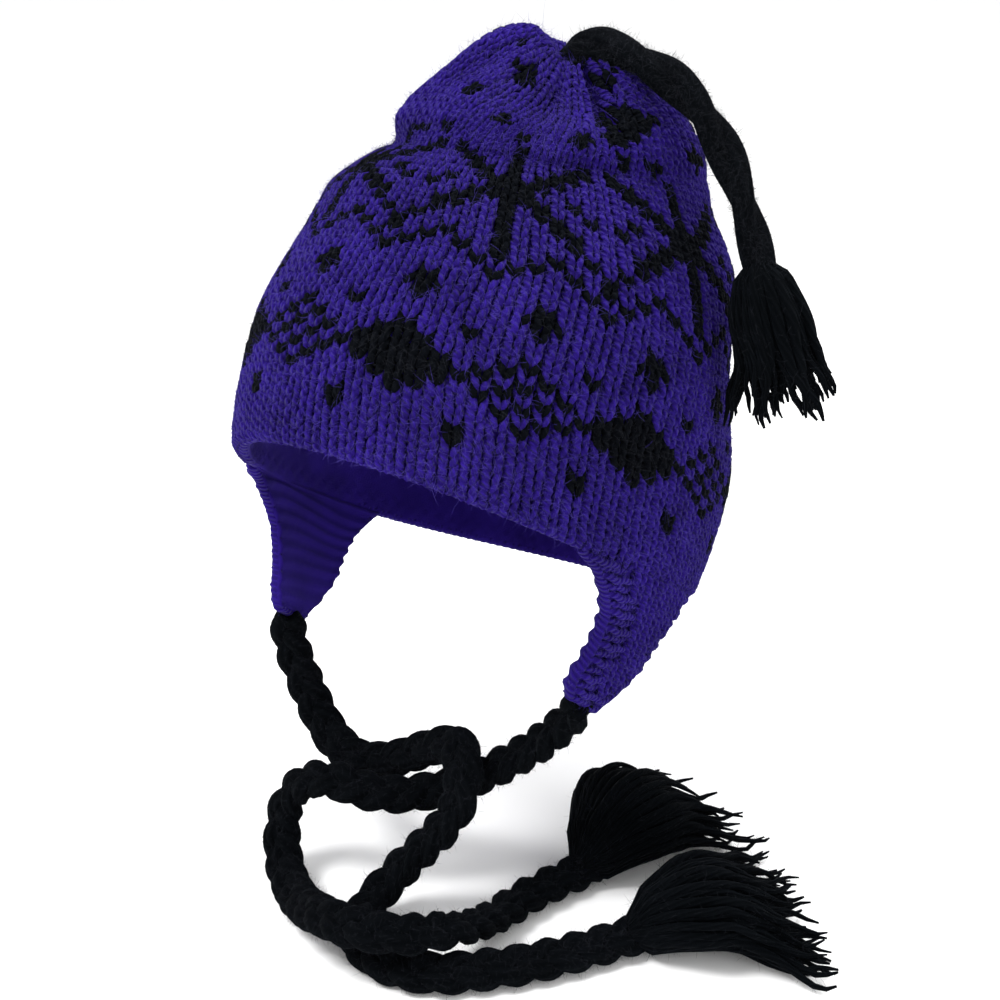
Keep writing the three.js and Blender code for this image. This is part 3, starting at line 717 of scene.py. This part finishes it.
# Earflaps: stocking stitch framed by garter ridges, narrowing to the tie
flap = {
    "seam": (61.5, 112), "stops": [0, 4.5, 10.7, 17.2, 24, 30.2, 35.5, 39.5, 42.7],
    # front angle, front height, rear angle, rear height
    "rows": [[66.5, -17.5, 108, -38], [70.5, -26, 104, -42], [72.8, -34, 101, -46.5], [72.6, -42, 98, -51.5],
             [71.6, -49, 95.5, -56.5], [69.8, -55, 91, -61], [69.6, -59, 86, -65], [70.5, -62, 81, -68.5]],
    "ridge": 4.8, "pitch": 5.0, "frontBorder": 2, "rearBorder": 2,
    "degree": 1.3, "degreePitch": 3.9,  # millimetres to a degree round the hat, degrees to a border stitch
    "wales": (8, 23), "courses": 19, "seamShift": 0.65, "lowest": -61,
}
# Garter ridges of the border, in millimetres unless they are counts or shares
garter = {
    "first": 1.0, "rings": 12, "sides": 8, "overlap": 0.35, "narrow": 23, "narrowReach": 0.56,
    "insets": (1.1, 2.1), "wave": 0.35, "sag": 1.0, "high": 0.1, "low": -1.05, "turnedIn": 2.4,
    "thick": 1.45, "flat": 0.92,
}
# The rounded edge of a flap, and the wall behind its stitches
outline = {
    "ringsDown": 48, "ringsOver": 14, "above": 1.5, "corners": (0.06, 0.94), "inset": 1.4, "outwards": -2.5,
    "radius": (1.5, 2.0), "grain": 2.4,
}
backing = {"across": 25, "down": 40, "outwards": -1.6, "thickness": 3.1, "relief": 0.55, "wales": 10}


def pickRow(table, index):
    return np.take_along_axis(table, index[None], 0)[0]


def flapPlace(share, depth):
    # Angle and height at a share of the way from front to rear edge and a depth under the seam
    share, depth = np.broadcast_arrays(np.asarray(share, float), np.asarray(depth, float))
    bow = share * share * (3 - 2 * share)
    angles = [flap["seam"][0] + (flap["seam"][1] - flap["seam"][0]) * share]
    heights = [rowPlace(angles[0], 0.0)]
    for frontAngle, frontHeight, rearAngle, rearHeight in flap["rows"]:
        angles.append(frontAngle + (rearAngle - frontAngle) * share)
        heights.append(frontHeight + (rearHeight - frontHeight) * bow)
    stops = len(flap["stops"])
    place = np.interp(depth, flap["stops"], np.arange(stops))
    low = np.clip(place.astype(int), 0, stops - 2)
    part = place - low
    angles, heights = np.stack(angles), np.stack(heights)
    angle = pickRow(angles, low) * (1 - part) + pickRow(angles, low + 1) * part
    height = pickRow(heights, low) * (1 - part) + pickRow(heights, low + 1) * part
    return angle, height


def flapPoint(share, depth, outwards):
    angle, height = flapPlace(share, depth)
    normal = hatNormal(angle, height)
    return hatPoint(angle, height) + np.asarray(outwards)[..., None] * normal, normal


def flapWidth(depth):
    front, _ = flapPlace(0.0, depth)
    rear, _ = flapPlace(1.0, depth)
    return (rear - front) * flap["degree"]


def flapEdge(share, height):
    # Angle of the front (0) or rear (1) edge at a height
    depth = np.linspace(0, flap["stops"][-1], 60)
    angles, heights = flapPlace(np.full(len(depth), share), depth)
    return np.interp(-height, -heights, angles)


def flapStitches():
    # The crown's wales carried on down the flap, between its two borders
    rows = []
    for row in range(-1, -1 - flap["courses"], -1):
        for column in range(*flap["wales"]):
            angle = knit["firstAngle"] + column * 360 / knit["columns"]
            height = float(rowPlace(angle, knit["rowHeight"] * (row + flap["seamShift"])))
            low = flapEdge(0.0, height) + flap["frontBorder"] * flap["degreePitch"]
            high = flapEdge(1.0, height) - flap["rearBorder"] * flap["degreePitch"]
            if low < angle < high and height > flap["lowest"]:
                rows.append((column, row, 1.0))
    return np.array(rows)


def flapRidges():
    # Garter ridges across both borders, each a high and a low course
    t = np.linspace(0, 1, garter["rings"])
    batches = []
    bottom = flap["stops"][-1]
    for edge, columns in ((0.0, flap["frontBorder"]), (1.0, flap["rearBorder"])):
        for number, depth in enumerate(np.arange(garter["first"], bottom, 0.5 * flap["ridge"])):
            width = float(flapWidth(depth))
            reach = garter["narrowReach"]
            if width > garter["narrow"]:
                reach = (columns + garter["overlap"]) * flap["pitch"] / width
            inset = garter["insets"][int(edge)] / width
            share = (inset + reach * t if edge == 0 else 1 - inset - reach * t)[None]
            high = number % 2 == 0
            wave = garter["wave"] * np.cos(2 * np.pi * (reach * t * width / flap["pitch"] + (0 if high else 0.5)))
            sag = garter["sag"] * np.sin(np.pi * t)
            place = np.clip(depth + sag + wave, 0.2, bottom)[None]
            turnedIn = garter["turnedIn"] * (1 - np.minimum(1, 4.5 * t)) ** 1.6
            outwards = (garter["high" if high else "low"] - 0.5 * np.abs(wave) - turnedIn)[None]
            centres, normals = flapPoint(share, place, outwards)
            thick = garter["thick"] * np.sqrt(np.sin(np.pi * (0.12 + 0.8 * t)))
            batches.append((centres, normals, (garter["flat"] * thick)[None], thick[None]))
    return batches


def flapRim():
    # Middle line of the flap's edge: down the front, over the bottom and up the rear
    bottom = flap["stops"][-1]
    down = np.linspace(-outline["above"], bottom - outline["above"], outline["ringsDown"])
    over = np.linspace(*outline["corners"], outline["ringsOver"])
    share = np.concatenate([np.full(len(down), 0.0), over, np.full(len(down), 1.0)])
    depth = np.concatenate([down, np.full(len(over), bottom), down[::-1]])
    inwards = outline["inset"] / np.maximum(flapWidth(np.clip(depth, 0, bottom)), 10)
    share = np.where(share == 0, inwards, np.where(share == 1, 1 - inwards, share))
    return flapPoint(share, depth, np.full(share.shape, outline["outwards"]))


def flapWall(name, side):
    shares = np.linspace(0.01, 0.99, backing["across"])
    depths = np.linspace(0, flap["stops"][-1] - 0.3, backing["down"])
    aShare, aDepth = np.meshgrid(shares, depths)
    outer, normals = flapPoint(aShare, aDepth, np.full(aShare.shape, backing["outwards"]))
    courses = backing["relief"] * np.cos(2 * np.pi * aDepth / flap["ridge"])
    relief = courses * (1 + 0.5 * np.cos(2 * np.pi * aShare * backing["wales"]))
    inner = outer - (backing["thickness"] + relief)[..., None] * normals
    rows, columns = aShare.shape
    points = np.concatenate([outer.reshape(-1, 3), inner.reshape(-1, 3)])
    first = rows * columns
    quads = [gridFaces(rows, columns, 0, False, True), gridFaces(rows, columns, first, False, False)]
    # the points round the edge of the grid, in order
    grid = np.arange(first).reshape(rows, columns)
    rim = np.concatenate([grid[0], grid[1:, -1], grid[-1, -2::-1], grid[-2:0:-1, 0]])
    nextRim = np.roll(rim, -1)
    quads.append(np.stack([rim, nextRim, first + nextRim, first + rim], -1))
    quads = np.concatenate(quads)
    if side < 0:
        points = points * np.array([-1, 1, 1])
        quads = quads[:, ::-1]
    return buildMesh(name, points, quads, None, np.zeros((len(quads), 4, 2)), None, purpleWool)


wales = flapStitches()
rimPath, rimNormals = flapRim()
flapKnits = {}
for sideName, side in (("left", 1), ("right", -1)):
    parts = []
    mirror = np.array([side, 1, 1])
    for leg in (-1, 1):
        centres, normals, wide, high, sides, shades = legBatch(wales, leg)
        parts.append((centres * mirror, normals * mirror, wide, high, sides, shades))
    for centres, normals, wide, high in flapRidges():
        parts.append((centres * mirror, normals * mirror, wide, high, garter["sides"], rng.uniform(0.2, 0.8, 1)))
    node = "earflap_" + sideName
    knitted = yarnPiece(node + "_stitches", parts, purpleWool)
    flapKnits[node] = knitted
    inside = flapWall(node + "_wall", side)
    edge = edgeTube(node + "_edge", rimPath * mirror, rimNormals * mirror, outline["radius"], outline["grain"],
                    purpleWool)
    for piece in (knitted, inside, edge):
        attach(piece, "root")
    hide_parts("earflap_" + sideName)
print("earflaps knitted")


# Loose fibres that stand off the yarn, drawn about twice as wide as real ones so that they show; their fuzz
# colours are paler than the yarn as painted sheen
fuzz = {"crown": 60000, "width": 0.06, "lengths": (1.2, 6.5), "lean": 0.8, "lift": 0.55, "curl": 0.315,
        "brimRadius": 80, "startHeight": (0.9, 1.7), "flap": 5000, "flapLengths": (1.0, 4.5),
        "strays": 300, "strayLengths": (7, 16), "strayPlaces": (5, 170)}


def fibreMesh(name, starts, outDirs, material, lengths):
    # Thin curved ribbons that rise from their start and bend over
    count = len(starts)
    long = (lengths[0] + (lengths[1] - lengths[0]) * rng.uniform(0, 1, count) ** 2)[:, None]
    heading = unit(rng.normal(0, 1, (count, 3)))
    heading = unit(heading - (heading * outDirs).sum(1)[:, None] * outDirs)
    bend = unit(rng.normal(0, 1, (count, 3)))
    rising, falling = fuzz["lean"] * heading + fuzz["lift"] * outDirs, bend - 0.5 * outDirs
    centre = np.stack([starts + long * (share * rising + fuzz["curl"] * share ** 2 * falling)
                       for share in (0.0, 0.5, 1.0)], 1)
    tangent = unit(np.gradient(centre, axis=1))
    sideways = unit(np.cross(tangent, np.broadcast_to(outDirs[:, None], centre.shape)))
    half = 0.5 * fuzz["width"] * sideways
    low, middle = centre[:, 0], centre[:, 1]
    ribbon = np.stack([low - half[:, 0], low + half[:, 0], middle - half[:, 1], middle + half[:, 1],
                       centre[:, 2]], 1)
    base = ribbon.shape[1] * np.arange(count)
    quads = np.stack([base, base + 1, base + 3, base + 2], -1)
    corners = np.stack([base + 2, base + 3, base + 4], -1)
    return buildMesh(name, ribbon.reshape(-1, 3), quads, corners, np.zeros((count, 4, 2)),
                     np.repeat(rng.uniform(0, 1, count), ribbon.shape[1]), material)


fibreAngle = rng.uniform(0, 360, fuzz["crown"])
fibreFabric = rng.uniform(0, hatShape["crownLength"], fuzz["crown"])
girth = lookUp(hatShape["sections"], rowPlace(fibreAngle, fibreFabric))[:, 1] / fuzz["brimRadius"]
even = rng.uniform(0, 1, fuzz["crown"]) < girth  # as many to each square centimetre near the top as at the brim
fibreAngle, fibreFabric = fibreAngle[even], fibreFabric[even]
fibreStart, fibreOut = knitPlace(fibreAngle, fibreFabric, rng.uniform(*fuzz["startHeight"], len(fibreAngle)))
fibreColumn = (fibreAngle - knit["firstAngle"]) * knit["columns"] / 360 - leanShift(fibreFabric)
fibreBlack = isBlack(fibreColumn, (fibreFabric / knit["rowHeight"]).astype(int))
for name, chosen, material, slotName in (("crown_purple_fuzz", ~fibreBlack, purpleFuzz, "purple_wool"),
                                         ("crown_black_fuzz", fibreBlack, blackFuzz, "black_wool")):
    piece = fibreMesh(name, fibreStart[chosen], fibreOut[chosen], material, fuzz["lengths"])
    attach(piece, "root")


def pieceFuzz(name, piece, count, material, lengths):
    # Loose fibres that leave a finished piece along its faces' directions
    size = 3 * len(piece.data.vertices)
    places, normals = np.empty(size, np.float32), np.empty(size, np.float32)
    piece.data.vertices.foreach_get("co", places)
    piece.data.vertex_normals.foreach_get("vector", normals)
    places, normals = 1000.0 * places.reshape(-1, 3), normals.reshape(-1, 3)
    chosen = rng.integers(0, len(places), count)
    chosen = chosen[places[chosen, 2] > floorHeight + 1]
    return fibreMesh(name, places[chosen], normals[chosen], material, lengths)


# name, piece, how many fibres, shortest and longest
blackFibres = [
    ("top_cord_fuzz", cordPiece, 9000, (1.2, 5)), ("tie_left_fuzz", leftPiece, 16000, (1.2, 5)),
    ("tie_right_fuzz", rightPiece, 16000, (1.2, 5)), ("top_tassel_fuzz", topTassel, 4000, (1.2, 6)),
    ("left_tassel_fuzz", leftTassel, 6000, (1.2, 6)), ("right_tassel_fuzz", rightTassel, 6000, (1.2, 6)),
]
for name, piece, count, lengths in blackFibres:
    fibres = pieceFuzz(name, piece, count, blackFuzz, lengths)
    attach(fibres, "root")
for name, piece in flapKnits.items():
    fibres = pieceFuzz(name + "_fuzz", piece, fuzz["flap"], purpleFuzz, fuzz["flapLengths"])
    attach(fibres, "root")
strayAngle = rng.uniform(0, 360, fuzz["strays"])
strayFabric = rng.uniform(*fuzz["strayPlaces"], fuzz["strays"])
strayStart, strayOut = knitPlace(strayAngle, strayFabric, np.full(fuzz["strays"], 0.4))
strays = fibreMesh("stray_hairs", strayStart, strayOut, purpleFuzz, fuzz["strayLengths"])
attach(strays, "root")
print("loose fibres made")


# Floor and soft studio light
floorMaterial = bpy.data.materials.new("paintedTable")
floorMaterial.use_nodes = True
tableShader = floorMaterial.node_tree.nodes["Principled BSDF"]
tableShader.inputs["Base Color"].default_value = linearColour("#FFFFFF")
tableShader.inputs["Roughness"].default_value = 0.7
bpy.ops.object.select_all(action="DESELECT")
bpy.ops.mesh.primitive_plane_add(size=60, location=(0, 0, -0.1422))  # just under the ties, wider than any view
floor = bpy.context.object
floor.name = "floor"
floor.data.materials.append(floorMaterial)

# place and size in metres, power in watts
lights = {"key": ((-0.35, -0.75, 1.1), 0.5, 18.0), "fill": ((1.1, -0.5, 0.4), 0.9, 4.0),
          "top": ((0.1, 0.3, 1.2), 0.6, 9.0)}
for name, (place, size, power) in lights.items():
    lightData = bpy.data.lights.new(name, "AREA")
    lightData.size = size
    lightData.energy = power
    lamp = bpy.data.objects.new(name, lightData)
    lamp.location = place
    lamp.rotation_euler = (Vector(place) * -1).to_track_quat("-Z", "Y").to_euler()
    bpy.context.scene.collection.objects.link(lamp)
world = bpy.data.worlds.new("paleRoom")
world.use_nodes = True
background = world.node_tree.nodes["Background"]
background.inputs["Color"].default_value = linearColour("#FFFFFF")
background.inputs["Strength"].default_value = 1.0
bpy.context.scene.world = world
bpy.context.scene.view_settings.view_transform = "Standard"
print("lights set")
